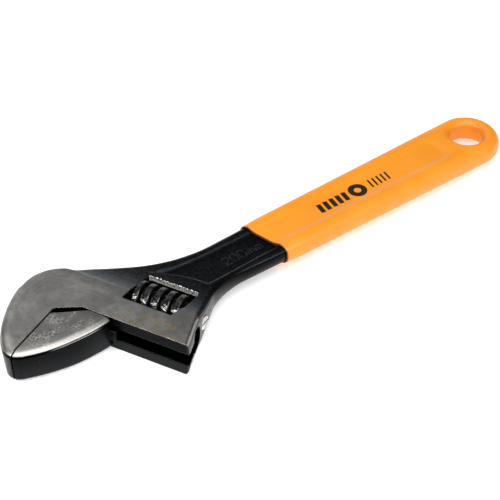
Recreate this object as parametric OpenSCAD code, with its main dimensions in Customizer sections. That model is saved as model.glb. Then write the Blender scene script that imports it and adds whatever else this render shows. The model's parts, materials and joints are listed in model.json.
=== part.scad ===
/* [Head] */
// Full thickness of the head and of both jaws, mm
head_t = 12.7; // [10:0.1:16]
// Angle between the slide of the jaw and a line square to the handle, degrees
jaw_angle = 22.8; // [15:0.1:30]
// Distance from the seat line to the tips of the jaws, mm
jaw_reach = 29.5; // [24:0.1:34]
// Length of the seat bar, from the jaw faces to its outer end, mm
bar_len = 46.1; // [38:0.1:50]
// Distance from the seat line to the near edge of the window, mm
bar_w = 9.9; // [8:0.1:12]
// Distance from the seat line to the end of the ground faces, mm
ground_w = 14.2; // [12:0.1:18]

/* [Window and keyway] */
// Start of the window, measured from the jaw faces along the slide, mm
win_s0 = 16.3; // [14:0.1:18]
// End of the window, measured in the same way, mm
win_s1 = 35.4; // [33:0.1:38]
// Distance from the seat line to the far wall of the window, mm
win_b1 = 25.5; // [23:0.1:28]
// Width of the slot that the neck of the jaw slides in, mm
slot_t = 4.3; // [3:0.1:6]
// Radius of the round keyway behind the slot, mm
key_r = 4.15; // [3:0.05:5]
// Distance from the seat line to the axis of the keyway, mm
key_b = 9.45; // [7:0.05:10]

/* [Worm] */
// Outer radius of the worm, mm
worm_r = 6.3; // [5:0.1:8]
// Root radius of the worm's thread, mm
root_r = 4.25; // [3.5:0.05:6]
// Pitch of the worm's thread and of the rack, mm
pitch = 3.7; // [2.5:0.05:5]
// Length of the worm, mm
worm_len = 16.8; // [15:0.1:19]
// Distance from the seat line to the axis of the worm, mm
worm_b = 17.9; // [16:0.1:20]
// Radius of the pin that the worm turns on, mm
pin_r = 1.6; // [1:0.05:2.5]

/* [Handle] */
// Distance from the tips of the jaws to the centre of the hanging hole, mm
eye_x = 193.6; // [150:0.1:240]
// Half thickness of the steel handle at its flanges, mm
shank_t = 2.9; // [2:0.1:4]
// Half width of the bare shank, mm
shank_w = 8.9; // [7:0.1:11]
// Depth of the panel forged in each side of the handle, mm
panel_d = 1; // [0.4:0.1:1.6]

/* [Grip] */
// Half thickness of the grip at its rims, mm
grip_t = 4.25; // [3.5:0.05:5]
// Half width of the grip at its mouth, mm
grip_w0 = 10.6; // [9:0.1:12]
// Half width of the grip at its round end, mm
grip_w = 11.7; // [9:0.1:13]
// Radius of the hanging hole, mm
hole_r = 6.2; // [4:0.1:7]
// Depth of the sunken panel in each side of the grip, mm
grip_d = 1.05; // [0.4:0.05:1.5]
// Distance from the tips of the jaws to the mouth of the grip, mm
grip_x0 = 100.5; // [80:0.1:130]
// Angle at which the mouth of the grip is cut, degrees
mouth_angle = 11.3; // [0:0.1:25]

/* [Hidden] */

$fn = 64;
half = head_t / 2;
slide_dir = jaw_angle - 90;
// origin of the head's frame: s runs along the slide, b from the seat to the handle
head_o = [29.04, 12.64];
// plan centre of the whole wrench, moved to the origin
mid = [103.49, -0.44];
gap = 0.1;
// a length beyond every outline of the head
far = 80;
seam = 0.02;
rod_r = key_r - gap;
rod_s = [5.5, 36];
neck_s = [8.8, 20.5];
jaw_b = -0.12;
throat = [7.6, 4.8];
crest_w = 0.88;
root_w = 1.18;
mesh_gap = 0.2;
lead = atan(pitch / PI / (worm_r + root_r));
worm_s0 = (win_s0 + win_s1 - worm_len) / 2;
// where the thread crosses the plane of the seat, which sets the phase of worm and rack
thread_s0 = 17.05;
pin_s = [12.3, 38.5, 41.5];
pin_head_r = 2.4;
spring_r = 2.25;
wire_r = 0.3;
spring_s0 = 17.15;
spring_bore = 2.8;
skin = 1.2;
steel_w = grip_w - skin;
steel_hole = hole_r + skin;
lip = 1.2;
edge = 1.9;
slabs = [for (i = [0:5]) [head_t * sin(15 * i + 15), edge * (1 - cos(15 * i + 7.5))]];
tick = [0.22, 1.6, 0.12];
tick_s0 = 16.9;

function arc(c, r, a0, a1, n) =
  [for (i = [0:n]) let (a = a0 + (a1 - a0) * i / n) c + r * [cos(a), sin(a)]];

// arc of radius r from p to q
function bow(p, q, r, n) =
  let (d = q - p, l = norm(d), c = (p + q) / 2 + sqrt(r * r / l / l - 0.25) * [-d.y, d.x])
  arc(c, r, atan2(p.y - c.y, p.x - c.x), atan2(p.y - c.y, p.x - c.x) + 2 * asin(l / 2 / r), n);

// points of the head's frame in the plan of the whole wrench
function plan(ps) = [for (p = ps) head_o + [
  p.x * cos(slide_dir) - p.y * sin(slide_dir),
  p.x * sin(slide_dir) + p.y * cos(slide_dir)]];

// outline of the forging, inset by d on its outer edges; the space for the jaw is cut later
function bar_end(d) = [
  [2, d - jaw_reach],
  [8, -8],
  [bar_len + 0.6 - d, -2],
  [bar_len - 4 - d, ground_w]];
function jaw_back(d) = concat(
  arc([-1.57, 1.86], 14.1 - d, 111, 184.5, 12),
  arc([28.75, 3.33], 44.9 - d, 185.5, 225, 16),
  [[-1.2, d - jaw_reach + 0.3]]);
function shank_low(d) = arc([85.4, -shank_w - 32.5], 32.5 + d, 118, 90, 8);
function shank_high(d) = arc([84, shank_w + 57.5], 57.5 + d, 270, 242.5, 8);
function handle_end(d) = concat(
  [[100, d - 9.4]],
  arc([eye_x, 0], steel_w - d, -89, 89, 24),
  [[100, 9.4 - d]]);
function forging(d) = concat(
  plan(bar_end(d)), shank_low(d), handle_end(d), shank_high(d),
  [[46, 21.3 - d], [40.8, 23.2 - d]], plan(jaw_back(d)));

// outline of the movable jaw, inset by d on its outer edge; its inner faces are cut later
function jaw_front(d) = concat(
  [[-2, d - jaw_reach], [0.5, d - jaw_reach], [2.3 - d / 3, d - jaw_reach + 0.9]],
  bow([2.8 - d / 3, d - jaw_reach + 1.2], [18.3 - d / 5, jaw_b - 0.5], 58, 12),
  [[18.3 - d / 5, 2], [-2, 2]]);

// half thickness of the forging at distance b from the seat line
function depth(b) = shank_t + (half - shank_t) * exp(-(b - ground_w) / 12);
function depth_line(side, d = 0) = concat(
  [[-40, side * half]],
  [for (i = [0:12]) [ground_w + 5 * i, side * (depth(ground_w + 5 * i) + d)]],
  [[200, side * (shank_t + d)]]);
function flip(ps) = [for (i = [len(ps) - 1:-1:0]) ps[i]];

function panel(d, x1) = concat(
  [[73 + d, d - 7.7]],
  arc([x1, 0], 7.3 - d, -80, 80, 16),
  [[62.6 + d, 7.2 - d]]);

module at_mid() translate([-mid.x, -mid.y, half]) children();
module at_head() at_mid() translate(head_o) rotate(slide_dir) children();
// turns a solid drawn up the z axis to lie along the slide at distance b
module along(s, b) at_head() translate([s, b, 0]) rotate([90, 0, 90]) children();
module both_faces() {
  children();
  mirror([0, 0, 1]) children();
}

// skin through a list of rings of equal length, closed at both ends
module sweep(rings) {
  n = len(rings[0]);
  m = len(rings);
  polyhedron(
    points = [for (r = rings) each r],
    faces = concat(
      [[for (j = [n - 1:-1:0]) j]],
      [for (i = [0:m - 2], j = [0:n - 1])
        let (a = i * n + j, b = i * n + (j + 1) % n)
        each [[b + n, a + n, a], [b, b + n, a]]],
      [[for (j = [0:n - 1]) (m - 1) * n + j]]));
}

// a ring of section points [radius, height], turned to angle a and raised by h
function ring(section, a, h) =
  [for (p = section) [p.x * cos(a), p.x * sin(a), p.y + h]];

module thread() {
  section = [
    [root_r - 0.4, -root_w - 0.06], [worm_r, -crest_w],
    [worm_r, crest_w], [root_r - 0.4, root_w + 0.06]];
  turns = ceil(worm_len / pitch) + 2;
  sweep([for (i = [0:24 * turns])
    ring(section, 15 * i, thread_s0 - worm_s0 + pitch * (i / 24 - 1))]);
}

module coil(turns, rise) {
  section = arc([spring_r, 0], wire_r, 0, 315, 7);
  sweep([for (i = [0:20 * turns]) ring(section, 18 * i, rise * i / 20 / turns)]);
}

// the space inside an outline of the head's frame, through the whole thickness
module head_prism(outline) {
  at_head()
    translate([0, 0, -half - 1])
      linear_extrude(head_t + 2)
        polygon(outline);
}

module blank_forging() {
  intersection() {
    at_mid()
      for (s = slabs)
        linear_extrude(s[0], center = true) polygon(forging(s[1]));
    along(-60, 0)
      linear_extrude(220)
        polygon(concat(depth_line(-1), flip(depth_line(1))));
  }
}

module window() {
  head_prism([
    [win_s0, bar_w], [win_s1 - 1.3, bar_w], [win_s1 - 0.7, bar_w + 3.6],
    [win_s1, bar_w + 4.7], [win_s1, win_b1], [win_s0 + 0.7, win_b1]]);
}

module keyway() {
  along(rod_s[0] - 1, key_b) cylinder(r = key_r, h = 60);
  at_head()
    translate([neck_s[0] - 0.3, -1, -slot_t / 2])
      cube([60, key_b + 1, slot_t]);
}

module ticks() {
  at_head()
    for (i = [0:25])
      translate([tick_s0 + i - tick.x / 2, 0.3, half - tick.z])
        cube([tick.x, tick.y * (i % 5 == 0 ? 1.6 : 1), 1]);
}

module body() {
  color([0.12, 0.12, 0.13])
    difference() {
      blank_forging();
      head_prism([[0, -far], [0, -throat.y], [throat.x, 0], [far, 0], [far, -far]]);
      window();
      keyway();
      ticks();
      along(pin_s[0] - 0.1, worm_b) cylinder(r = pin_r + seam, h = 40);
      along(pin_s[1] - seam, worm_b) cylinder(r = pin_head_r + seam, h = 20);
      at_mid()
        both_faces()
          translate([0, 0, shank_t - panel_d])
            linear_extrude(half)
              polygon(panel(0, 174));
      at_mid()
        translate([eye_x, 0, -half])
          cylinder(r = steel_hole, h = head_t);
    }
}

module rack_gap() {
  r = worm_b - key_b;
  rotate([0, -lead, 0])
    translate([0, 0, -6])
      linear_extrude(12)
        polygon([
          [-crest_w - mesh_gap, r - worm_r - 0.15],
          [crest_w + mesh_gap, r - worm_r - 0.15],
          [root_w + mesh_gap + 0.2, r - root_r + 1.2],
          [-root_w - mesh_gap - 0.2, r - root_r + 1.2]]);
}

module rack_rod() {
  difference() {
    union() {
      along(rod_s[0], key_b) cylinder(r = rod_r, h = rod_s[1] - rod_s[0]);
      at_head()
        translate([neck_s[0], jaw_b - 1, gap - slot_t / 2])
          cube([neck_s[1] - neck_s[0], key_b + 1 - jaw_b, slot_t - 2 * gap]);
    }
    for (k = [-3:4])
      at_head()
        translate([thread_s0 + pitch * (k + 0.5), key_b, 0])
          rack_gap();
  }
}

module movable_jaw() {
  color([0.5, 0.49, 0.47]) {
    difference() {
      at_head()
        for (s = slabs)
          linear_extrude(s[0], center = true) polygon(jaw_front(s[1]));
      head_prism([
        [seam, -far], [seam, -6.9], [0.3, -6.5], [9.6, jaw_b], [far, jaw_b], [far, 10],
        [-far, 10], [-far, -far]]);
    }
    rack_rod();
  }
}

module worm() {
  color([0.25, 0.25, 0.26])
    along(worm_s0, worm_b)
      difference() {
        intersection() {
          union() {
            cylinder(r = root_r, h = worm_len);
            thread();
          }
          cylinder(r = worm_r + 1, h = worm_len);
        }
        translate([0, 0, -1]) cylinder(r = pin_r + gap, h = worm_len + 2);
        translate([0, 0, -1]) cylinder(r = spring_bore, h = 5);
      }
}

module worm_pin() {
  color([0.66, 0.66, 0.64])
    along(pin_s[0], worm_b)
      difference() {
        union() {
          cylinder(r = pin_r, h = pin_s[1] - pin_s[0] + 0.5);
          translate([0, 0, pin_s[1] - pin_s[0]])
            cylinder(r = pin_head_r, h = pin_s[2] - pin_s[1]);
        }
        translate([-4, -0.35, pin_s[2] - pin_s[0] - 0.7]) cube([8, 0.7, 2]);
      }
}

module worm_spring() {
  color([0.7, 0.7, 0.7])
    along(spring_s0, worm_b)
      coil(4, 3.6);
}

module grip_rim(side) {
  a = atan((grip_w - grip_w0) / (eye_x - grip_x0));
  translate([eye_x, side * (grip_w - grip_t), 0])
    rotate([0, -90, side * -a])
      cylinder(r = grip_t, h = 110);
}

module grip_blank() {
  k = (grip_w - grip_w0) / (eye_x - grip_x0) * 110;
  wide = grip_w - grip_t;
  grip_rim(1);
  grip_rim(-1);
  translate([0, 0, -grip_t])
    linear_extrude(2 * grip_t)
      polygon([
        [eye_x, wide], [eye_x - 110, wide - k], [eye_x - 110, k - wide], [eye_x, -wide]]);
  translate([eye_x, 0, 0])
    rotate_extrude() {
      translate([wide, 0]) intersection() {
        circle(r = grip_t);
        translate([0, -grip_t]) square([grip_t, 2 * grip_t]);
      }
      translate([0, -grip_t]) square([wide, 2 * grip_t]);
    }
}

module hanging_hole() {
  translate([eye_x, 0, 0])
    rotate_extrude()
      polygon(concat(
        [[0, -grip_t - 1], [hole_r + lip, -grip_t - 1]],
        arc([hole_r + lip, lip - grip_t], lip, 270, 180, 8),
        arc([hole_r + lip, grip_t - lip], lip, 180, 90, 8),
        [[hole_r + lip, grip_t + 1], [0, grip_t + 1]]));
}

// the forging as far as the grip covers it, with the seam added all round
module handle_space() {
  difference() {
    intersection() {
      at_mid()
        linear_extrude(head_t, center = true)
          polygon(concat([[90, -9.2]], handle_end(-seam), [[90, 9.2]]));
      along(-60, 0)
        linear_extrude(220)
          polygon(concat(depth_line(-1, seam), flip(depth_line(1, seam))));
    }
    at_mid()
      both_faces()
        translate([0, 0, shank_t - panel_d + seam])
          linear_extrude(half)
            polygon(panel(seam, 174));
    at_mid() translate([eye_x, 0, -half]) cylinder(r = steel_hole - seam, h = head_t);
  }
}

module grip() {
  color([1, 0.6, 0.13])
    difference() {
      at_mid() grip_blank();
      at_mid() hanging_hole();
      handle_space();
      at_mid()
        translate([grip_x0, 0, -10])
          rotate(mouth_angle)
            translate([-60, -40, 0])
              cube([60, 80, 20]);
      at_mid()
        both_faces()
          translate([0, 0, grip_t - grip_d])
            linear_extrude(half)
              polygon(concat([[80, -6.1]], arc([173, 0], 6.6, -80, 80, 16), [[80, 6.1]]));
    }
}

body();
movable_jaw();
worm();
worm_pin();
worm_spring();
grip();
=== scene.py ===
import json
import math

import bpy
import numpy as np
from mathutils import Matrix, Vector


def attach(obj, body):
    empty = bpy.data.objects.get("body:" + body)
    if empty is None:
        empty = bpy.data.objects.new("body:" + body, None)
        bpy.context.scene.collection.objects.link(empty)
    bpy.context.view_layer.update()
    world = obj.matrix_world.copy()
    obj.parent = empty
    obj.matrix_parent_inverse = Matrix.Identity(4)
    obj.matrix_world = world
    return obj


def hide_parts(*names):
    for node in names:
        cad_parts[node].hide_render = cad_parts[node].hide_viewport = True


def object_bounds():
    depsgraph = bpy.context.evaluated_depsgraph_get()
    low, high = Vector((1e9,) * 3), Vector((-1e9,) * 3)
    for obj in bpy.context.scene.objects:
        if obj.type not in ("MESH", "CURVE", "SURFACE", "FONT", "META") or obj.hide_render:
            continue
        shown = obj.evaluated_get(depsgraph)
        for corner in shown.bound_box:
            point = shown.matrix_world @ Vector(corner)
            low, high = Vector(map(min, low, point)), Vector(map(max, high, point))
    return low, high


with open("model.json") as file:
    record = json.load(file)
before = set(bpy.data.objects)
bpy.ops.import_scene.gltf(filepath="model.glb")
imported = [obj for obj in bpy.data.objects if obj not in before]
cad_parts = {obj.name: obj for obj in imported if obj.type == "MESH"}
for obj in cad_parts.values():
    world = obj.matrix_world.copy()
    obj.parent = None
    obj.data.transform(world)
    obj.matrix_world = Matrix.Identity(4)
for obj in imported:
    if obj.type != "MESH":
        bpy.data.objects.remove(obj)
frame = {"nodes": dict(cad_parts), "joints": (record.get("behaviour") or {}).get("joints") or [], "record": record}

cad_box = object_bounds()

# ---------------------------------------------------------------- places, from the frame
# Shapes are worked out in millimetres in two flat frames, with z from the middle plane:
# the head's (s along the slide, b from the seat towards the handle) and the handle's
# (x along the handle, measured from the tips of the jaws, and y across it).
record = frame["record"]
mounts = {m["name"]: m for m in record["mounts"]}
joints = {j["name"]: j for j in frame["joints"]}
MM = 1000.0
eye = np.array(mounts["hang_hole"]["pos_m"]) * MM
worm_at = np.array(joints["worm_spin"]["pos_m"]) * MM
slide = np.array(joints["jaw_slide"]["axis"][:2])
slide = slide / np.linalg.norm(slide)
across = np.array([-slide[1], slide[0]])
EYE_X = 193.6
WORM_S, WORM_B = 25.85, 17.9
HALF = (cad_box[1].z - cad_box[0].z) * MM / 2
MID_Z = HALF

head_zero = worm_at[:2] - WORM_S * slide - WORM_B * across


def head_to_world(p):
    flat = head_zero + p[:, :1] * slide + p[:, 1:2] * across
    return np.column_stack([flat, p[:, 2] + MID_Z]) / MM


def handle_to_world(p):
    return (p + np.array([eye[0] - EYE_X, eye[1], MID_Z])) / MM


def head_of_handle(x, y):
    """Head-frame coordinates of points given in the handle's frame."""
    dx, dy = x + eye[0] - EYE_X - head_zero[0], y + eye[1] - head_zero[1]
    return dx * slide[0] + dy * slide[1], dx * across[0] + dy * across[1]


def handle_of_head(s, b):
    """Handle-frame coordinates of points given in the head's frame."""
    x = head_zero[0] + s * slide[0] + b * across[0] - eye[0] + EYE_X
    y = head_zero[1] + s * slide[1] + b * across[1] - eye[1]
    return x, y


# ---------------------------------------------------------------- outlines and distances
def arc(cx, cy, r, start, end, step=0.6):
    n = max(2, int(abs(math.radians(end - start)) * r / step))
    a = np.radians(np.linspace(start, end, n + 1))
    return np.column_stack([cx + r * np.cos(a), cy + r * np.sin(a)])


def bow(p, q, r):
    """Arc of radius r from p to q."""
    p, q = np.array(p, float), np.array(q, float)
    d = q - p
    size = np.hypot(*d)
    c = (p + q) / 2 + math.sqrt(r * r / size / size - 0.25) * np.array([-d[1], d[0]])
    start = math.degrees(math.atan2(p[1] - c[1], p[0] - c[0]))
    return arc(c[0], c[1], r, start, start + 2 * math.degrees(math.asin(size / 2 / r)))


def rounded(corners, radii):
    """A closed outline with each corner replaced by an arc."""
    corners = np.array(corners, float)
    n = len(corners)
    radii = np.broadcast_to(radii, n)
    out = []
    for i in range(n):
        a, p, c = corners[i - 1], corners[i], corners[(i + 1) % n]
        if radii[i] <= 0:
            out.append(p)
            continue
        u, v = (a - p) / np.linalg.norm(a - p), (c - p) / np.linalg.norm(c - p)
        half = math.acos(np.clip(u @ v, -1, 1)) / 2
        middle = p + (u + v) / np.linalg.norm(u + v) * radii[i] / math.sin(half)
        back = radii[i] / math.tan(half)
        first, last = p + u * back - middle, p + v * back - middle
        turn = math.atan2(first[0] * last[1] - first[1] * last[0], first @ last)
        for t in np.linspace(0, turn, 7):
            cs, sn = math.cos(t), math.sin(t)
            out.append(middle + [first[0] * cs - first[1] * sn, first[0] * sn + first[1] * cs])
    return np.array(out)


def softened(outline, sigma, step=0.4):
    """The outline resampled evenly and smoothed along its length."""
    closed = np.vstack([outline, outline[:1]])
    run = np.r_[0, np.cumsum(np.linalg.norm(np.diff(closed, axis=0), axis=1))]
    n = int(run[-1] / step)
    at = np.linspace(0, run[-1], n, endpoint=False)
    even = np.column_stack([np.interp(at, run, closed[:, k]) for k in (0, 1)])
    width = int(3 * sigma / step) + 1
    lags = np.arange(-width, width + 1)
    weights = np.exp(-0.5 * (lags * step / sigma) ** 2)
    weights /= weights.sum()
    return sum(w * np.roll(even, k, axis=0) for w, k in zip(weights, lags))


def distance(outline, x, y):
    """Signed distance in the plane to a closed outline, negative inside."""
    x, y = np.broadcast_arrays(x, y)
    best = np.full(x.shape, 1e12)
    inside = np.zeros(x.shape, bool)
    for (ax, ay), (bx, by) in zip(outline, np.roll(outline, -1, axis=0)):
        ex, ey = bx - ax, by - ay
        size = ex * ex + ey * ey
        if size < 1e-12:
            continue
        t = np.clip(((x - ax) * ex + (y - ay) * ey) / size, 0, 1)
        best = np.minimum(best, (x - ax - t * ex) ** 2 + (y - ay - t * ey) ** 2)
        if ay != by:
            inside ^= ((ay > y) != (by > y)) & (x < ex * (y - ay) / ey + ax)
    return np.sqrt(best) * np.where(inside, -1, 1)


class DistanceMap:
    """The distance to an outline on a square grid, read back with cubic interpolation."""

    def __init__(self, outline, low, high, step):
        self.low, self.step = low, step
        self.n = [int((high[k] - low[k]) / step) + 2 for k in (0, 1)]
        x, y = (low[k] + step * np.arange(self.n[k]) for k in (0, 1))
        self.grid = distance(outline, x[:, None], y[None, :])

    def __call__(self, x, y):
        x, y = np.broadcast_arrays(x, y)
        cells, parts = [], []
        for k, v in enumerate((x, y)):
            u = (v - self.low[k]) / self.step
            i = np.clip(np.floor(u).astype(int), 1, self.n[k] - 3)
            t = np.clip(u - i, 0, 1)
            cells.append(i)
            parts.append([
                t * (-0.5 + t - 0.5 * t * t), 1 - 2.5 * t * t + 1.5 * t ** 3,
                t * (0.5 + 2 * t - 1.5 * t * t), 0.5 * t * t * (t - 1)])
        total = 0
        for a in range(4):
            for c in range(4):
                total = total + parts[0][a] * parts[1][c] * self.grid[cells[0] + a - 1, cells[1] + c - 1]
        return total


def ramp(low, high, v):
    t = np.clip((v - low) / (high - low), 0, 1)
    return t * t * (3 - 2 * t)


def both(a, b, r):
    """What two solids share, with its edge rounded to radius r."""
    return np.minimum(np.maximum(a, b), -r) + np.hypot(np.maximum(a + r, 0), np.maximum(b + r, 0))


def either(a, b, r):
    """Two solids joined, with a fillet of radius r."""
    return -both(-a, -b, r)


def less(a, b, r):
    """The first solid without the second, with its edge rounded to radius r."""
    return both(a, -b, r)


# ---------------------------------------------------------------- skinning a solid
def gradient(field, p, h):
    g = np.empty_like(p)
    for k in range(3):
        up, down = p.copy(), p.copy()
        up[:, k] += h
        down[:, k] -= h
        g[:, k] = (field(*up.T) - field(*down.T)) / (2 * h)
    return g


def settle(field, p, reach, times):
    """Moves points onto the surface of the solid."""
    for _ in range(times):
        g = gradient(field, p, 0.01)
        size = np.maximum((g * g).sum(1), 0.05)
        move = (field(*p.T) / size)[:, None] * g
        length = np.linalg.norm(move, axis=1, keepdims=True)
        p = p - move * np.minimum(1, reach / np.maximum(length, 1e-9))
    return p


def skin(field, axes, relax):
    """A closed quad mesh around the inside of a field, one vertex in each cell it crosses."""
    x, y, z = axes
    values = field(x[:, None, None], y[None, :, None], z[None, None, :])
    values = np.broadcast_to(values, (len(x), len(y), len(z)))
    solid = values < 0
    corners = [(i, j, k) for i in (0, 1) for j in (0, 1) for k in (0, 1)]
    count = sum(solid[i:len(x) - 1 + i, j:len(y) - 1 + j, k:len(z) - 1 + k].astype(np.int8)
                for i, j, k in corners)
    cells = np.argwhere((count > 0) & (count < 8))
    number = np.full(count.shape, -1, np.int64)
    number[tuple(cells.T)] = np.arange(len(cells))
    total, hits = np.zeros((len(cells), 3)), np.zeros(len(cells))
    for c in corners:
        for k in range(3):
            if c[k]:
                continue
            d = list(c)
            d[k] = 1
            a, b = cells + c, cells + d
            fa, fb = values[tuple(a.T)], values[tuple(b.T)]
            cross = (fa < 0) != (fb < 0)
            t = np.where(cross, fa / np.where(cross, fa - fb, 1), 0)[:, None]
            pa = np.column_stack([x[a[:, 0]], y[a[:, 1]], z[a[:, 2]]])
            pb = np.column_stack([x[b[:, 0]], y[b[:, 1]], z[b[:, 2]]])
            total += np.where(cross[:, None], pa + (pb - pa) * t, 0)
            hits += cross
    p = total / hits[:, None]
    quads = []
    for k in range(3):
        u, v = (k + 1) % 3, (k + 2) % 3
        a = [slice(None)] * 3
        b = [slice(None)] * 3
        a[k], b[k] = slice(0, -1), slice(1, None)
        change = solid[tuple(a)].astype(np.int8) - solid[tuple(b)].astype(np.int8)
        edges = np.argwhere(change != 0)
        sign = change[tuple(edges.T)]
        ring = []
        for du, dv in ((-1, -1), (0, -1), (0, 0), (-1, 0)):
            c = edges.copy()
            c[:, u] += du
            c[:, v] += dv
            ring.append(number[tuple(c.T)])
        ring = np.column_stack(ring)
        quads.append(np.where(sign[:, None] > 0, ring, ring[:, ::-1]))
    quads = np.vstack(quads)
    cell = min(np.diff(x).min(), np.diff(y).min(), np.diff(z).min())
    links = np.vstack([quads[:, [k, (k + 1) % 4]] for k in range(4)])
    degree = np.bincount(links[:, 0], minlength=len(p)).astype(float)
    p = settle(field, p, cell, 2)
    for _ in range(relax):
        mean = np.column_stack([
            np.bincount(links[:, 0], weights=p[links[:, 1], k], minlength=len(p)) / degree
            for k in range(3)])
        p = settle(field, p + 0.5 * (mean - p), cell, 1)
    p = settle(field, p, cell, 1)
    normal = gradient(field, p, 0.03)
    normal /= np.maximum(np.linalg.norm(normal, axis=1, keepdims=True), 1e-9)
    return p, quads, normal, links, degree


def roundness(p, normal, links, degree):
    """How sharply the surface bends at each vertex, above zero on outer edges, in 1/mm."""
    i, j = links.T
    step = p[j] - p[i]
    bend = ((normal[j] - normal[i]) * step).sum(1) / np.maximum((step * step).sum(1), 1e-6)
    value = np.bincount(i, weights=bend, minlength=len(p)) / degree
    return 0.5 * value + 0.5 * np.bincount(i, weights=value[j], minlength=len(p)) / degree


def steps(*pairs):
    """Grid lines: pairs of (end, spacing) after the start."""
    at = [pairs[0]]
    for end, size in pairs[1:]:
        n = max(1, round((end - at[-1]) / size))
        at.extend(np.linspace(at[-1], end, n + 1)[1:])
    return np.array(at)


def make_piece(name, body, material, field, axes, to_world, masks, relax=2):
    p, quads, normal, links, degree = skin(field, axes, relax)
    mesh = bpy.data.meshes.new(name)
    world = to_world(p)
    turned = to_world(p + normal) - world
    mesh.vertices.add(len(p))
    mesh.vertices.foreach_set("co", world.ravel())
    mesh.loops.add(len(quads) * 4)
    mesh.loops.foreach_set("vertex_index", quads.ravel())
    mesh.polygons.add(len(quads))
    mesh.polygons.foreach_set("loop_start", np.arange(len(quads)) * 4)
    mesh.update(calc_edges=True)
    mesh.polygons.foreach_set("use_smooth", np.ones(len(quads), bool))
    turned /= np.linalg.norm(turned, axis=1, keepdims=True)
    mesh.normals_split_custom_set_from_vertices(turned)
    values = {"edge": roundness(p, normal, links, degree), **masks(p, normal)}
    for key, value in values.items():
        mesh.attributes.new(key, "FLOAT", "POINT").data.foreach_set("value", value.astype(np.float32))
    place = mesh.attributes.new("place", "FLOAT_VECTOR", "POINT")
    place.data.foreach_set("vector", p.astype(np.float32).ravel())
    mesh.materials.append(material)
    piece = bpy.data.objects.new(name, mesh)
    bpy.context.scene.collection.objects.link(piece)
    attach(piece, body)
    return piece


# ---------------------------------------------------------------- the shape of the forging
REACH, BAR_LEN, BAR_W, GROUND_W = 29.3, 46.14, 9.9, 14.2
WIN_S0, WIN_S1, WIN_B1 = 16.3, 35.4, 25.5
SLOT_T, KEY_R, KEY_B = 4.3, 4.15, 9.45
SHANK_T, SHANK_W, PANEL_D = 2.9, 8.9, 1.0
GRIP_T, GRIP_W0, GRIP_W, GRIP_D, GRIP_X0 = 4.25, 10.4, 11.6, 0.85, 100.9
HOLE_R, SKIN = 6.2, 1.2
# how far the bare steel reaches down the rims of the ground faces
BARE_RIM = 1.2
STEEL_W, STEEL_HOLE = GRIP_W - SKIN, HOLE_R + SKIN
MOUTH = math.radians(11.3)


def to_head(points):
    return np.column_stack(head_of_handle(*np.array(points, float).T))


forging_outline = softened(np.vstack([
    [[2, -REACH], [8, -8], [BAR_LEN + 0.56, -2], [BAR_LEN - 4, GROUND_W]],
    to_head(arc(85.4, -SHANK_W - 32.5, 32.5, 118, 90)),
    to_head([[100, -9.4]]),
    to_head(arc(EYE_X, 0, STEEL_W, -89, 89)),
    to_head([[100, 9.4]]),
    to_head(arc(84, SHANK_W + 57.5, 57.5, 270, 242.5)),
    to_head([[46, 21.3], [40.8, 23.2]]),
    arc(-1.57, 1.86, 14.1, 111, 184.5),
    arc(28.75, 3.33, 44.9, 185.5, 225),
    [[-1.2, 0.3 - REACH]]]), 0.7)
outer = DistanceMap(forging_outline, (-24.0, -38.0), (96.0, 172.0), 0.35)
pocket_outline = softened(to_head(np.vstack([
    [[60.0, 8.7], [62.7, 5.9], [67.4, 0.4], [70.1, -4.1], [71.4, -8.0], [85, -7.4], [94, -6.9],
     [101, -6.6], [130, -6.7]],
    arc(174, 0, 7.2, -80, 80),
    [[130, 6.7], [101, 6.4], [88, 6.3], [75.4, 6.5], [68, 7.0]]])), 0.5)
pocket = DistanceMap(pocket_outline, (-24.0, -38.0), (96.0, 172.0), 0.35)
window_outline = rounded([
    [WIN_S0, BAR_W], [WIN_S1 - 1.3, BAR_W], [WIN_S1 - 0.7, BAR_W + 3.6],
    [WIN_S1, BAR_W + 4.7], [WIN_S1, WIN_B1], [WIN_S0 + 0.7, WIN_B1]], [0.5, 0.5, 0.8, 0.8, 0.6, 0.6])
throat_outline = rounded(
    [[0, -60], [0, -4.8], [7.6, 0], [80, 0], [80, -60]], [0, 0.3, 0.3, 0, 0])
ground_outline = rounded([
    [-60, -60], [60, -60], [60, 10], [41.6, 13.2], [40.6, 14.75], [35.7, 14.75], [34.2, GROUND_W - 0.3],
    [30, GROUND_W], [-60, GROUND_W]], [0, 0, 0, 0.6, 1.0, 0.8, 0.5, 1, 0])


def ground_side(s, b):
    """Distance from the end of the ground faces, negative on the ground side."""
    return distance(ground_outline, s, b)


def forging_height(s, b, ground):
    paint = SHANK_T + (HALF - SHANK_T) * np.exp(-np.maximum(b - GROUND_W, 0) / 12) - 0.1
    h = HALF + (np.minimum(paint, HALF - 0.1) - HALF) * ramp(0, 0.35, ground)
    h = np.maximum(h, SHANK_T)
    return h - PANEL_D * ramp(0, 1.5, -pocket(s, b))


def rim(side, top, wide, tall):
    """A side and a top joined by a quarter ellipse, so far across and so far down."""
    return both(side * tall / wide, top, tall)


def nose_lean(b, z):
    """How far the end walls of the jaws lean out towards their upper face."""
    return 0.11 * z * (1 - ramp(-26, -12, b))


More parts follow.
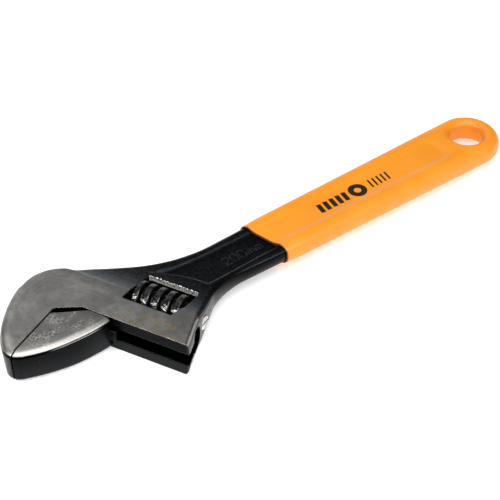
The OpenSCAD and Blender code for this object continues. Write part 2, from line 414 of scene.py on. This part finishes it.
def forging(s, b, z, inset=0.0):
    """The bare forging, before anything is cut in it."""
    h = forging_height(s, b, ground_side(s, b))
    tall = np.abs(z)
    at_shank = ramp(15, 32, b)
    at_bar = ramp(38, 41.5, s) * (1 - ramp(11, 16, b)) * (1 - at_shank)
    at_head = (1 - at_bar) * (1 - at_shank)
    at_nose = 1 - ramp(-16, 8, b)
    start = 2.15 * at_bar
    t = np.clip((tall - start) / np.maximum(h - start, 0.3), 0, 1.2)
    draw = 1.3 * at_bar + 0.9 * at_shank
    side = outer(s, b) + draw * t * t * (0.6 + 0.4 * t * t) + inset - nose_lean(b, z)
    down = at_head * (1.9 + 0.3 * at_nose) + 0.3 * at_bar + 1.1 * at_shank
    into = at_head * (2.1 + 1.3 * at_nose) + 0.3 * at_bar + 1.1 * at_shank
    return rim(side, tall - h + inset, into, down)


PIN_R, PIN_HEAD_R, PIN_S0, PIN_S1 = 1.62, 2.42, 12.2, 38.48


def body_field(s, b, z):
    f = forging(s, b, z)
    f = less(f, distance(throat_outline, s, b), 0.14)
    f = less(f, distance(window_outline, s, b), 0.2)
    slot = np.maximum(np.maximum(np.abs(z) - SLOT_T / 2, b - KEY_B), 8.5 - s)
    bore = np.maximum(np.hypot(b - KEY_B, z) - KEY_R, 4.5 - s)
    f = less(f, np.minimum(slot, bore), 0.2)
    radius = np.hypot(b - WORM_B, z)
    pin = np.minimum(
        np.maximum(radius - PIN_R, PIN_S0 - s), np.maximum(radius - PIN_HEAD_R, PIN_S1 - s))
    f = less(f, pin, 0.15)
    x, y = handle_of_head(s, b)
    return less(f, np.hypot(x - EYE_X, y) - STEEL_HOLE, 0.3)


def body_masks(p, normal):
    s, b, z = p.T
    return {
        "ground": ground_side(s, b),
        "wall": 1 - ramp(0.3, 0.75, np.abs(normal[:, 2])),
        "outer": outer(s, b),
        "inner": np.minimum(
            np.abs(distance(throat_outline, s, b)), np.abs(distance(window_outline, s, b))),
        "shelf": WIN_B1 - b + 9 * (1 - ramp(WIN_S0, WIN_S0 + 0.5, s) * ramp(-WIN_S1, 0.5 - WIN_S1, -s)),
        "pocket": pocket(s, b),
    }


# ---------------------------------------------------------------- the movable jaw
JAW_B, SEAM, GAP = -0.4, 0.34, 0.1
RACK_S0, RACK_S1, NECK_S0, NECK_S1 = 5.5, 36.0, 8.8, 20.5
WORM_R, ROOT_R, PITCH, WORM_LEN = 6.3, 4.25, 3.7, 16.8
CREST_W, ROOT_W, MESH_GAP = 0.88, 1.18, 0.2
WORM_S0, THREAD_S0 = WORM_S - WORM_LEN / 2, 17.05
LEAD = math.atan(PITCH / math.pi / (WORM_R + ROOT_R))

jaw_outline = softened(np.vstack([
    [[-3, -REACH], [0.5, -REACH], [2.3, 0.9 - REACH]],
    bow((2.8, 1.2 - REACH), (18.3, JAW_B - 0.5), 58),
    [[18.6, 3], [-3, 3]]]), 0.5)
jaw_outer = DistanceMap(jaw_outline, (-8.0, -36.0), (26.0, 9.0), 0.25)
jaw_space = rounded([
    [SEAM, -60], [SEAM, -7.3], [0.7, -7.1], [10.3, JAW_B], [60, JAW_B], [60, -60]],
    [0, 0.2, 0.2, 0.3, 0, 0])


def jaw_field(s, b, z):
    tall = np.abs(z)
    at_nose = 1 - ramp(-16, 8, b)
    side = jaw_outer(s, b) + 0.15 - nose_lean(b, z)
    f = rim(side, tall - HALF + 0.01, 2.1 + 1.3 * at_nose, 1.9 + 0.3 * at_nose)
    f = both(f, distance(jaw_space, s, b), 0.14)
    neck = np.maximum(np.maximum(tall - SLOT_T / 2 + GAP, b - KEY_B), JAW_B - 1 - b)
    neck = np.maximum(neck, np.maximum(NECK_S0 - s, s - NECK_S1))
    rod = both(np.hypot(b - KEY_B, z) - KEY_R + GAP, np.maximum(RACK_S0 - s, s - RACK_S1), 0.4)
    first = THREAD_S0 + PITCH / 2
    k = np.clip(np.round((s + math.tan(LEAD) * z - first) / PITCH), -3, 4)
    u = np.abs(s + math.tan(LEAD) * z - first - k * PITCH) * math.cos(LEAD)
    up = b - KEY_B
    foot = WORM_B - KEY_B - WORM_R - 0.15
    width = CREST_W + MESH_GAP + (ROOT_W + 0.2 - CREST_W) * (up - foot) / (WORM_R - ROOT_R + 1.35)
    rod = less(rod, np.maximum(u - width, foot - up), 0.15)
    return np.minimum(f, either(neck, rod, 0.2))


def jaw_masks(p, normal):
    s, b, z = p.T
    return {
        "ground": np.maximum(b - 0.2, -50.0),
        "wall": 1 - ramp(0.3, 0.75, np.abs(normal[:, 2])),
        "outer": jaw_outer(s, b),
        "inner": np.abs(distance(jaw_space, s, b)),
        "shelf": np.full(len(s), 50.0),
        "pocket": np.full(len(s), 50.0),
    }


# ---------------------------------------------------------------- the worm
KNURLS, KNURL_D = 44, 0.03


def worm_field(s, b, z):
    q, radius = s - WORM_S0, np.hypot(b - WORM_B, z)
    angle = np.arctan2(z, b - WORM_B)
    k = s - THREAD_S0 - PITCH * angle / (2 * math.pi)
    u = np.abs((k + PITCH / 2) % PITCH - PITCH / 2)
    width = CREST_W + (ROOT_W - CREST_W) * (WORM_R - radius) / (WORM_R - ROOT_R)
    knurl = KNURL_D * (0.5 - 0.5 * np.cos(KNURLS * angle + 3.0 * np.sin(k * 0.9)))
    thread = both(radius - WORM_R + knurl, u - width, 0.22)
    f = either(thread, radius - ROOT_R, 0.35)
    f = both(f, np.maximum(-q, q - WORM_LEN), 0.2)
    f = less(f, radius - 1.7, 0.15)
    return less(f, np.maximum(radius - 2.8, q - 4), 0.15)


def worm_masks(p, normal):
    return {"crest": np.hypot(p[:, 1] - WORM_B, p[:, 2])}


# ---------------------------------------------------------------- the grip
WIDE0 = GRIP_W0 - (GRIP_W - GRIP_W0) / (EYE_X - GRIP_X0) * GRIP_X0
WIDEN = (GRIP_W - GRIP_W0) / (EYE_X - GRIP_X0)
grip_panel = rounded([[60, -6.2], [182, -6.9], [182, 6.9], [60, 6.2]], [0, 4.5, 4.5, 0])


def grip_side(x, y):
    straight = (np.abs(y) - WIDE0 - WIDEN * x) * math.cos(math.atan(WIDEN))
    return np.where(x < EYE_X, straight, np.hypot(x - EYE_X, y) - GRIP_W)


def past_mouth(x, y):
    """Distance past the slanted mouth of the sleeve."""
    return (x - GRIP_X0) * math.cos(MOUTH) + y * math.sin(MOUTH)


def grip_field(x, y, z):
    tall = np.abs(z)
    mouth = past_mouth(x, y)
    lip = 1 - ramp(-1, 6, mouth)
    h = GRIP_T - 0.4 * lip - GRIP_D * ramp(-1.0, 3.2, -distance(grip_panel, x, y))
    f = both(grip_side(x, y) + 0.25 * lip, tall - h, 3.9)
    s, b = head_of_handle(x, y)
    f = either(f, forging(s, b, z, inset=-0.5), 0.6)
    f = less(f, np.hypot(x - EYE_X, y) - HOLE_R + 0.2, 2.8)
    f = both(f, -mouth, 0.4)
    steel = forging(s, b, z, inset=-0.06)
    steel = less(steel, np.hypot(x - EYE_X, y) - STEEL_HOLE + 0.06, 0.3)
    return less(f, steel, 0.25)


def grip_masks(p, normal):
    x, y, _ = p.T
    return {"mouth": past_mouth(x, y)}


# ---------------------------------------------------------------- thin marks
GLYPHS = {
    "0": [[(0.3, 0), (0.1, 0.08), (0, 0.3), (0, 0.7), (0.1, 0.92), (0.3, 1), (0.5, 0.92), (0.6, 0.7),
           (0.6, 0.3), (0.5, 0.08), (0.28, 0)]],
    "1": [[(0.12, 0.78), (0.36, 1), (0.36, 0)]],
    "2": [[(0.02, 0.76), (0.1, 0.94), (0.3, 1), (0.52, 0.92), (0.58, 0.72), (0.45, 0.5), (0.02, 0.04),
           (0.6, 0.04)]],
    "5": [[(0.55, 1), (0.08, 1), (0.03, 0.55), (0.3, 0.62), (0.52, 0.52), (0.6, 0.3), (0.5, 0.07),
           (0.25, 0), (0, 0.1)]],
    "m": [[(0, 0), (0, 0.6)], [(0, 0.42), (0.1, 0.58), (0.25, 0.56), (0.3, 0.4), (0.3, 0)],
          [(0.3, 0.42), (0.4, 0.58), (0.55, 0.56), (0.6, 0.4), (0.6, 0)]],
}


def written(text, at, height, gap=0.3):
    """The strokes of a short text, centred on a point."""
    wide = (0.6 + gap) * height
    left = at[0] - (wide * len(text) - gap * height) / 2
    return [
        [(left + wide * k + x * height, at[1] + (y - 0.5) * height) for x, y in stroke]
        for k, letter in enumerate(text) for stroke in GLYPHS[letter]]


def make_marks(name, body, material, strokes, width, low, high, to_world):
    """Flat ribbons along the strokes, each a closed solid."""
    points, faces = [], []
    for stroke in strokes:
        line = np.array(stroke, float)
        run = np.diff(line, axis=0)
        run /= np.linalg.norm(run, axis=1, keepdims=True)
        ahead, behind = np.vstack([run, run[-1:]]), np.vstack([run[:1], run])
        if np.allclose(line[0], line[-1]):
            ahead[-1], behind[0] = run[0], run[-1]
        mean = ahead + behind
        mean /= np.linalg.norm(mean, axis=1, keepdims=True)
        reach = width / 2 / np.maximum((mean * ahead).sum(1), 0.5)
        side = np.column_stack([-mean[:, 1], mean[:, 0]]) * reach[:, None]
        base, n = len(points), len(line)
        for p, q in zip(line, side):
            points += [(*(p - q), low), (*(p + q), low), (*(p + q), high), (*(p - q), high)]
        for k in range(n - 1):
            a, b = base + 4 * k, base + 4 * k + 4
            faces += [(a + i, a + (i + 1) % 4, b + (i + 1) % 4, b + i) for i in range(4)]
        last = base + 4 * (n - 1)
        faces += [(base + 3, base + 2, base + 1, base), (last, last + 1, last + 2, last + 3)]
    points = np.array(points)
    mesh = bpy.data.meshes.new(name)
    mesh.from_pydata(to_world(points).tolist(), [], faces)
    place = mesh.attributes.new("place", "FLOAT_VECTOR", "POINT")
    place.data.foreach_set("vector", points.astype(np.float32).ravel())
    mesh.materials.append(material)
    piece = bpy.data.objects.new(name, mesh)
    bpy.context.scene.collection.objects.link(piece)
    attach(piece, body)
    return piece


def slanted(x, y, tall, lean):
    """An upright stroke, leaning to the right."""
    return [(x - lean / 2, y - tall / 2), (x + lean / 2, y + tall / 2)]


# ---------------------------------------------------------------- materials
class Shader:
    """A node material, built up a node at a time."""

    def __init__(self, name):
        self.material = bpy.data.materials.new(name)
        self.material.use_nodes = True
        self.tree = self.material.node_tree
        self.tree.nodes.clear()
        self.out = self.add("ShaderNodeOutputMaterial")
        self.surface = self.add("ShaderNodeBsdfPrincipled")
        self.tree.links.new(self.surface.outputs[0], self.out.inputs[0])

    def add(self, kind, **settings):
        node = self.tree.nodes.new(kind)
        for key, value in settings.items():
            setattr(node, key, value)
        return node

    def put(self, socket, value):
        if isinstance(value, bpy.types.NodeSocket):
            self.tree.links.new(value, socket)
        elif isinstance(value, (tuple, list)) and len(value) == 3 and socket.type == "RGBA":
            socket.default_value = (*value, 1)
        else:
            socket.default_value = value

    def set(self, **inputs):
        for key, value in inputs.items():
            self.put(self.surface.inputs[key.replace("_", " ")], value)

    def attribute(self, name, output="Fac"):
        return self.add("ShaderNodeAttribute", attribute_name=name).outputs[output]

    def place(self):
        return self.attribute("place", "Vector")

    def noise(self, at, scale, detail=3.0, rough=0.5):
        node = self.add("ShaderNodeTexNoise")
        self.put(node.inputs["Vector"], at)
        node.inputs["Scale"].default_value = scale
        node.inputs["Detail"].default_value = detail
        node.inputs["Roughness"].default_value = rough
        return node.outputs["Fac"]

    def cells(self, at, scale, feature="F1"):
        node = self.add("ShaderNodeTexVoronoi", feature=feature)
        self.put(node.inputs["Vector"], at)
        node.inputs["Scale"].default_value = scale
        return node.outputs["Distance"]

    def math(self, kind, a, b=0.0, clamp=False):
        node = self.add("ShaderNodeMath", operation=kind, use_clamp=clamp)
        self.put(node.inputs[0], a)
        self.put(node.inputs[1], b)
        return node.outputs[0]

    def times(self, first, *others):
        for other in others:
            first = self.math("MULTIPLY", first, other)
        return first

    def split(self, vector):
        node = self.add("ShaderNodeSeparateXYZ")
        self.put(node.inputs[0], vector)
        return node.outputs

    def span(self, value, low, high, to_low=0.0, to_high=1.0):
        """Smooth step from to_low at low to to_high at high."""
        node = self.add("ShaderNodeMapRange", interpolation_type="SMOOTHSTEP")
        self.put(node.inputs["Value"], value)
        node.inputs["From Min"].default_value = low
        node.inputs["From Max"].default_value = high
        node.inputs["To Min"].default_value = to_low
        node.inputs["To Max"].default_value = to_high
        return node.outputs[0]

    def mix(self, amount, a, b):
        node = self.add("ShaderNodeMix", data_type="RGBA")
        self.put(node.inputs[0], amount)
        self.put(node.inputs[6], a)
        self.put(node.inputs[7], b)
        return node.outputs[2]

    def blend(self, amount, a, b):
        node = self.add("ShaderNodeMix", data_type="FLOAT")
        self.put(node.inputs[0], amount)
        self.put(node.inputs[2], a)
        self.put(node.inputs[3], b)
        return node.outputs[0]

    def bump(self, height, strength, depth):
        node = self.add("ShaderNodeBump")
        self.put(node.inputs["Strength"], strength)
        node.inputs["Distance"].default_value = depth
        self.put(node.inputs["Height"], height)
        self.put(self.surface.inputs["Normal"], node.outputs[0])


def steel_and_paint(name, dull=0.0):
    """Ground steel faces and a black finish with wear on everything else, with painted light and shade."""
    m = Shader(name)
    at = m.place()
    ground, wall, edge, away, shelf, inner, pocket_edge = (
        m.attribute(key) for key in ("ground", "wall", "edge", "outer", "shelf", "inner", "pocket"))
    s, b, z = m.split(at)
    tall = m.math("ABSOLUTE", z)
    blotch = m.noise(at, 0.11, 4, 0.6)
    cloud = m.noise(at, 0.4, 4, 0.65)
    grain = m.noise(at, 1.6, 5, 0.75)
    fine = m.noise(at, 6.0, 3, 0.7)

    # brush marks that follow the outline, a net of fine cracks in the scale, and pits
    strokes = m.add("ShaderNodeCombineXYZ")
    for socket, value, stretch in zip(strokes.inputs, (away, s, b), (3.4, 0.22, 0.22)):
        m.put(socket, m.times(value, stretch))
    brushed = m.noise(strokes.outputs[0], 1.0, 3, 0.6)
    wander = m.add("ShaderNodeVectorMath", operation="ADD")
    warp = m.add("ShaderNodeTexNoise")
    m.put(warp.inputs["Vector"], at)
    warp.inputs["Scale"].default_value = 0.9
    m.put(wander.inputs[0], at)
    m.put(wander.inputs[1], warp.outputs["Color"])
    veins = m.times(
        m.span(m.cells(wander.outputs[0], 0.8, "DISTANCE_TO_EDGE"), 0.015, 0.09, 1.0, 0.0),
        m.span(m.noise(at, 0.13, 2), 0.53, 0.64),
        m.span(b, -1.0, -4.0), m.span(s, -1.0, 1.0), m.span(b, -27, -21))
    pits = m.times(m.span(m.cells(at, 1.7), 0.06, 0.26, 1.0, 0.0), m.span(blotch, 0.42, 0.62))

    # where the steel is bare: the ground faces down to a little below their rims
    ragged = m.times(m.math("SUBTRACT", grain, 0.5), 0.5)
    flat = m.span(m.math("ADD", ground, ragged), -0.1, 0.12, 1.0, 0.0)
    high = m.span(m.math("ADD", tall, m.times(ragged, 0.4)), HALF - BARE_RIM, HALF - BARE_RIM + 0.16)
    top = m.math("MAXIMUM", m.math("SUBTRACT", 1.0, wall, clamp=True), m.span(inner, 0.35, 0.8))
    end = m.times(
        m.span(s, BAR_LEN - 3.2, BAR_LEN - 1.6), m.span(b, 9.5, 11.5, 1.0, 0.0),
        m.span(away, -0.9, -0.6), wall, 0.06)
    bare = m.math("MAXIMUM", m.times(flat, high, top), end)

    # worn black: on the window's far wall and sharp edges; painted highlight: a line below the rims
    # painted highlight: a thin bright line on the rim walls just below the bare steel
    line = m.span(m.math("ABSOLUTE", m.math("SUBTRACT", tall, HALF - BARE_RIM - 0.4)), 0.05, 0.2, 1.0, 0.0)
    line = m.times(line, flat, m.span(b, -3, -8), m.span(b, -22, -17), m.span(s, 0.4, 3.0), 0.7)
    ledge = m.times(
        m.span(m.math("ABSOLUTE", shelf), 0.25, 0.4, 1.0, 0.0), m.span(wall, 0.3, 0.6),
        m.span(s, 11.5, 12.5), m.span(s, 38.5, 37.5))
    band = m.times(ledge, m.span(m.math("ADD", tall, m.times(ragged, 1.4)), 2.2, 2.4))
    lip = m.times(band, m.span(tall, 2.7, 3.0, 1.0, 0.0))
    chipped = m.times(band, m.span(m.math("ADD", grain, m.times(fine, 0.5)), 0.58, 0.8))
    chipped = m.math("MAXIMUM", chipped, m.times(lip, m.span(grain, 0.35, 0.5)))
    ridge = m.times(
        m.span(m.math("ABSOLUTE", pocket_edge), 0.15, 0.5, 1.0, 0.0), m.span(fine, 0.56, 0.7), 0.03)
    worn_and_painted_highlight = m.times(m.span(edge, 0.7, 1.8), m.span(fine, 0.5, 0.66), 0.25)
    for mark in (ridge, chipped, line):
        worn_and_painted_highlight = m.math("MAXIMUM", worn_and_painted_highlight, mark)
    worn_and_painted_highlight = m.times(worn_and_painted_highlight, m.math("SUBTRACT", 1.0, bare, clamp=True))

    # the steel's colour, with a painted highlight along the rims on the mouth's side
    shade = m.mix(m.span(blotch, 0.35, 0.65), (0.175, 0.173, 0.168), (0.3, 0.294, 0.282))
    shade = m.mix(m.span(cloud, 0.4, 0.65, 0, 0.6), shade, (0.12, 0.118, 0.112))
    shade = m.mix(m.span(grain, 0.4, 0.72, 0, 0.6), shade, (0.29, 0.28, 0.265))
    shade = m.mix(m.span(brushed, 0.45, 0.7, 0, 0.35), shade, (0.3, 0.29, 0.27))
    shade = m.mix(dull, shade, (0.11, 0.109, 0.105))
    # painted highlight: the steel made lighter along the outer rims, where they catch the light
    painted_rim_highlight = m.times(
        m.span(away, -4.5, -0.2), m.span(b, 8.0, -20.0, 0.2, 1.0),
        m.math("MAXIMUM", m.span(s, -1.5, 0.5), m.span(b, -20, -26, 0.1, 0.8)))
    shade = m.mix(m.times(painted_rim_highlight, 0.85), shade, (0.56, 0.53, 0.5))
    smudge = m.times(
        m.span(ground, -5.0, -1.2), m.span(blotch, 0.3, 0.55), m.span(ground, -0.9, -0.1, 1.0, 0.3))
    shade = m.mix(m.times(smudge, 0.5), shade, (0.085, 0.086, 0.082))
    shade = m.mix(m.times(pits, 0.45), shade, (0.55, 0.54, 0.5))
    shade = m.mix(m.times(veins, 0.6), shade, (0.75, 0.73, 0.68))

    # the black finish, with a painted reflection that greys it near the ground faces and at the
    # foot of its walls, and a painted shade on the tops of its walls and inside the slot
    paint = m.mix(m.span(blotch, 0.3, 0.7), (0.013, 0.0145, 0.0165), (0.018, 0.0205, 0.0235))
    # painted reflection: the black made greyer towards the head's ground faces
    paint = m.mix(m.span(b, 32.0, 16.0), paint, (0.052, 0.06, 0.068))
    # painted shade: the black made darker inside the slot
    painted_slot_shade = m.times(m.span(tall, 5.4, 4.8), m.span(b, 17, 14))
    paint = m.mix(painted_slot_shade, paint, (0.003, 0.0034, 0.0038))
    # painted shade and reflection: walls darker towards the top and lighter towards the foot
    low = m.mix(m.span(z, 3.5, -5.0), (0.0008, 0.0009, 0.001), (0.011, 0.0125, 0.0145))
    paint = m.mix(m.span(wall, 0.3, 0.8), paint, low)
    paint = m.mix(worn_and_painted_highlight, paint, m.mix(ledge, (0.5, 0.5, 0.49), (1.0, 1.0, 0.97)))
    m.set(Base_Color=m.mix(bare, paint, shade))
    m.set(Metallic=m.math("SUBTRACT", m.math("MAXIMUM", bare, 0.92), m.times(worn_and_painted_highlight, 0.4)))
    steel_rough = m.math("ADD", m.span(grain, 0.3, 0.7, 0.33, 0.46), m.span(smudge, 0, 1, 0, 0.08))
    paint_rough = m.span(m.noise(at, 0.8, 3), 0.3, 0.7, 0.22, 0.32)
    m.set(Roughness=m.blend(bare, paint_rough, steel_rough))
    m.set(Specular_IOR_Level=0.22)
    peel = m.noise(at, 0.55, 2, 0.5)
    pitted = m.math("ADD", m.times(fine, 0.5), m.times(m.math("ADD", pits, veins), 1.2))
    m.bump(m.blend(bare, peel, pitted), 0.3, 0.00005)
    return m.material


def vinyl():
    m = Shader("orange_vinyl")
    at = m.place()
    soft = m.noise(at, 0.08, 3, 0.5)
    fine = m.noise(at, 2.2, 4, 0.6)
    mouth = m.attribute("mouth")
    colour = m.mix(m.span(soft, 0.35, 0.65), (0.78, 0.263, 0.011), (0.82, 0.286, 0.014))
    specks = m.span(m.noise(at, 3.5, 2), 0.68, 0.76)
    colour = m.mix(m.times(specks, 0.12), colour, (0.4, 0.11, 0.01))
    # painted shade: the vinyl darkened at its mouth, where its end face lies in shade
    painted_mouth_shade = m.span(m.math("ADD", mouth, m.span(fine, 0.3, 0.7, -0.08, 0.08)), 0.1, 0.42, 1.0, 0.0)
    colour = m.mix(m.times(painted_mouth_shade, 0.9), colour, (0.05, 0.01, 0.004))
    m.set(Base_Color=colour, Roughness=m.span(fine, 0.3, 0.7, 0.4, 0.5), Specular_IOR_Level=0.4)
    m.set(Coat_Weight=0.12, Coat_Roughness=0.12)
    m.bump(m.math("ADD", m.noise(at, 0.5, 2), m.times(fine, 0.25)), 0.12, 0.0002)
    return m.material


def oiled_steel():
    m = Shader("oiled_steel")
    at = m.place()
    grain = m.noise(at, 2.5, 4, 0.7)
    cloud = m.noise(at, 0.9, 3, 0.6)
    edge = m.attribute("edge")
    crest = m.span(m.attribute("crest"), WORM_R - 0.5, WORM_R - 0.1)
    colour = m.mix(m.span(grain, 0.35, 0.7), (0.008, 0.008, 0.008), (0.034, 0.034, 0.033))
    rubbed = m.times(crest, m.span(m.math("ADD", grain, cloud), 0.9, 1.2))
    colour = m.mix(m.times(rubbed, 0.3), colour, (0.2, 0.2, 0.19))
    bright = m.times(m.span(edge, 0.8, 2.4), m.span(cloud, 0.38, 0.6))
    colour = m.mix(m.times(bright, 0.45), colour, (0.4, 0.4, 0.38))
    m.set(Base_Color=colour, Metallic=m.span(grain, 0.2, 0.8, 0.6, 0.95))
    m.set(Roughness=m.span(grain, 0.3, 0.7, 0.14, 0.24), Specular_IOR_Level=0.5)
    m.bump(grain, 0.12, 0.00003)
    return m.material


def turned_steel(name, light, dark, rough):
    """For the carried-over pin and spring, by their own coordinates in metres."""
    m = Shader(name)
    at = m.add("ShaderNodeTexCoord").outputs["Object"]
    grain = m.noise(at, 1400.0, 4, 0.7)
    blotch = m.noise(at, 420.0, 3, 0.6)
    colour = m.mix(m.span(blotch, 0.35, 0.65), dark, light)
    m.set(Base_Color=colour, Metallic=m.span(grain, 0.2, 0.8, 0.88, 1.0))
    m.set(Roughness=m.span(grain, 0.3, 0.7, rough, rough + 0.16))
    m.bump(grain, 0.25, 0.00004)
    return m.material


def scale_ink():
    m = Shader("scale_ink")
    at = m.place()
    fade = m.noise(at, 1.2, 4, 0.7)
    colour = m.mix(m.span(fade, 0.35, 0.65), (0.2, 0.13, 0.055), (0.3, 0.235, 0.14))
    m.set(Base_Color=colour, Metallic=m.span(fade, 0.3, 0.7, 0.35, 0.8))
    m.set(Roughness=m.span(fade, 0.3, 0.7, 0.38, 0.5))
    m.bump(fade, 0.2, 0.00003)
    return m.material


def print_ink():
    m = Shader("print_ink")
    at = m.place()
    fade = m.noise(at, 1.5, 4, 0.7)
    m.set(Base_Color=m.mix(m.span(fade, 0.5, 0.75), (0.01, 0.006, 0.003), (0.07, 0.03, 0.006)))
    m.set(Roughness=m.span(fade, 0.3, 0.7, 0.4, 0.55), Specular_IOR_Level=0.25)
    m.bump(fade, 0.15, 0.00003)
    return m.material


def embossed_paint():
    m = Shader("embossed_paint")
    at = m.place()
    blotch = m.noise(at, 0.6, 3)
    speck = m.span(m.noise(at, 3.0, 3, 0.7), 0.58, 0.7)
    colour = m.mix(m.span(blotch, 0.3, 0.7), (0.03, 0.033, 0.037), (0.06, 0.065, 0.072))
    m.set(Base_Color=m.mix(m.times(speck, 0.6), colour, (0.3, 0.3, 0.3)))
    m.set(Metallic=m.span(blotch, 0, 1, 0.85, 0.95))
    m.set(Roughness=m.span(blotch, 0.3, 0.7, 0.22, 0.34), Specular_IOR_Level=0.28)
    m.bump(blotch, 0.2, 0.00005)
    return m.material


# ---------------------------------------------------------------- the pieces
fine = 0.36
body_axes = (
    steps(-19.0, (7.2, fine), (48.0, fine), (82.0, 0.9), (94.0, 0.9)),
    steps(-33.0, (0.0, fine), (9.9, fine), (14.2, fine), (25.5, fine), (66.0, fine), (170.0, 1.0)),
    steps(-7.1, (-2.15, 0.33), (2.15, 0.33), (7.1, 0.33)))
body = make_piece(
    "forged_body", "handle", steel_and_paint("forged_steel"),
    body_field, body_axes, head_to_world, body_masks)
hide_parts("body")
jaw = make_piece(
    "jaw_block", "jaw", steel_and_paint("jaw_steel", dull=0.55), jaw_field,
    (steps(-1.1, (0.02, 0.3), (38.0, 0.3)), steps(-31.0, (JAW_B, 0.3), (15.0, 0.3)),
     steps(-7.1, (-2.05, 0.3), (2.05, 0.3), (7.1, 0.3))),
    head_to_world, jaw_masks)
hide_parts("movable_jaw")
worm = make_piece(
    "worm_screw", "adjuster", oiled_steel(), worm_field,
    (steps(WORM_S0 - 0.7, (WORM_S0 + WORM_LEN + 0.7, 0.17)),
     steps(WORM_B - 7, (WORM_B + 7, 0.17)), steps(-7.0, (7.0, 0.17))),
    head_to_world, worm_masks, relax=1)
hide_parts("worm")
grip = make_piece(
    "grip_sleeve", "handle", vinyl(), grip_field,
    (steps(94.0, (208.0, 0.4)), steps(-13.5, (13.5, 0.4)), steps(-5.2, (5.2, 0.33))),
    handle_to_world, grip_masks)
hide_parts("grip")
seat_ticks = [[(s, 0.45), (s, 2.3 if k % 5 == 0 else 1.7)] for k, s in enumerate(np.arange(16.9, 43, 1.0))]
numbers = sum([written(text, (s, 4.7 + 0.02 * k), 2.0) for k, (text, s) in enumerate(
    (("5", 21.9), ("10", 26.9), ("15", 31.9), ("20", 36.9)))], [])
ink = scale_ink()
make_marks("scale_marks", "handle", ink, seat_ticks + numbers, 0.34, HALF - 0.08, HALF + 0.02,
           head_to_world)
index = [[(12.6, -4.6), (12.6, -2.6)], [(12.1, -3.2), (12.6, -2.5), (13.1, -3.2)]]
make_marks("index_mark", "jaw", ink, index, 0.3, HALF - 0.08, HALF + 0.01, head_to_world)
panel_top = SHANK_T - PANEL_D
make_marks("size_mark", "handle", embossed_paint(),
           written("200mm", (90.8, -1.2), 3.9, 0.22), 0.6, panel_top - 0.1, panel_top + 0.28,
           handle_to_world)
flat = GRIP_T - GRIP_D
PRINT_Y = -0.4
heavy = [slanted(125.6 + 2.7 * k, PRINT_Y, 4.4, 0.9) for k in range(5)]
light = [slanted(147.8 + 1.9 * k, PRINT_Y, 4.2, 0.8) for k in range(5)]
washer = arc(141.9, PRINT_Y, 2.35, 0, 360)
print_black = print_ink()
for name, strokes, width in (
        ("print_bars", heavy, 1.7), ("print_lines", light, 0.7), ("print_ring", [washer], 2.0)):
    make_marks(name, "handle", print_black, strokes, width, flat - 0.08, flat + 0.04,
               handle_to_world)
for node, material in (
        ("worm_pin", turned_steel("pin_steel", (0.75, 0.75, 0.73), (0.42, 0.42, 0.4), 0.22)),
        ("worm_spring", turned_steel("spring_steel", (0.5, 0.5, 0.5), (0.2, 0.2, 0.2), 0.25))):
    mesh = frame["nodes"][node].data
    if len(mesh.materials) == 0:
        mesh.materials.append(material)
    for k in range(len(mesh.materials)):
        mesh.materials[k] = material


# ---------------------------------------------------------------- floor, light and camera
def floor_material():
    m = Shader("pale_floor")
    m.set(Base_Color=(0.93, 0.93, 0.93), Roughness=0.9, Specular_IOR_Level=0.1)
    m.set(Emission_Color=(1.0, 1.0, 1.0), Emission_Strength=0.36)
    return m.material


floor = bpy.data.meshes.new("floor")
side = 6.0
floor.from_pydata(
    [(side * u, side * v, 0) for u, v in ((-1, -1), (1, -1), (1, 1), (-1, 1))], [], [(0, 1, 2, 3)])
floor.materials.append(floor_material())
floor = bpy.data.objects.new("floor", floor)
bpy.context.scene.collection.objects.link(floor)

world = bpy.data.worlds.new("studio")
bpy.context.scene.world = world
world.use_nodes = True
background = world.node_tree.nodes["Background"]
background.inputs["Color"].default_value = (0.9, 0.95, 1, 1)
background.inputs["Strength"].default_value = 0.08


def soft_light(name, where, aim, size, power, colour=(1, 1, 1)):
    light = bpy.data.lights.new(name, "AREA")
    light.shape = "RECTANGLE"
    light.size, light.size_y = size
    light.energy = power
    light.color = colour
    obj = bpy.data.objects.new(name, light)
    obj.location = where
    obj.rotation_euler = (Vector(aim) - Vector(where)).to_track_quat("-Z", "Y").to_euler()
    bpy.context.scene.collection.objects.link(obj)
    return obj


soft_light("overhead", (-0.12, -0.2, 0.7), (-0.03, 0, 0), (0.7, 0.7), 4.5)
soft_light("left", (-0.72, 0.08, 0.64), (-0.05, 0, 0), (0.14, 0.14), 4.0, (1, 0.98, 0.95))
soft_light("right", (0.25, -0.8, 0.5), (0, 0, 0), (0.5, 0.5), 4.2)
soft_light("far", (0.02, 0.42, 0.42), (-0.1, 0, 0), (0.36, 0.36), 0.5)
soft_light("horizon", (0.4, 0.8, 0.2), (0, 0, 0), (1.0, 0.25), 1.0)

VIEW_AZ, VIEW_EL, VIEW_ROLL = math.radians(-39.406), math.radians(39.275), math.radians(0.554)
VIEW_DISTANCE = 0.659716
# the point looked at, from the centre of the hanging hole, in mm
AIM_X, AIM_Y = -97.878, 0.644
level = math.cos(VIEW_EL)
back = Vector((math.sin(VIEW_AZ) * level, -math.cos(VIEW_AZ) * level, math.sin(VIEW_EL)))
right = (-back).cross(Vector((0, 0, 1))).normalized()
up = right.cross(-back)
right, up = (
    math.cos(VIEW_ROLL) * right + math.sin(VIEW_ROLL) * up,
    -math.sin(VIEW_ROLL) * right + math.cos(VIEW_ROLL) * up)
aim = Vector(((eye[0] + AIM_X) / MM, (eye[1] + AIM_Y) / MM, MID_Z / MM))
camera = bpy.data.cameras.new("camera")
camera.sensor_width = 36
camera.lens = 144
camera.clip_start, camera.clip_end = 0.01, 50
camera = bpy.data.objects.new("camera", camera)
turn = Matrix((right, up, back)).transposed().to_4x4()
camera.matrix_world = Matrix.Translation(aim + back * VIEW_DISTANCE) @ turn
bpy.context.scene.collection.objects.link(camera)
bpy.context.scene.camera = camera
bpy.context.scene.view_settings.view_transform = "Standard"
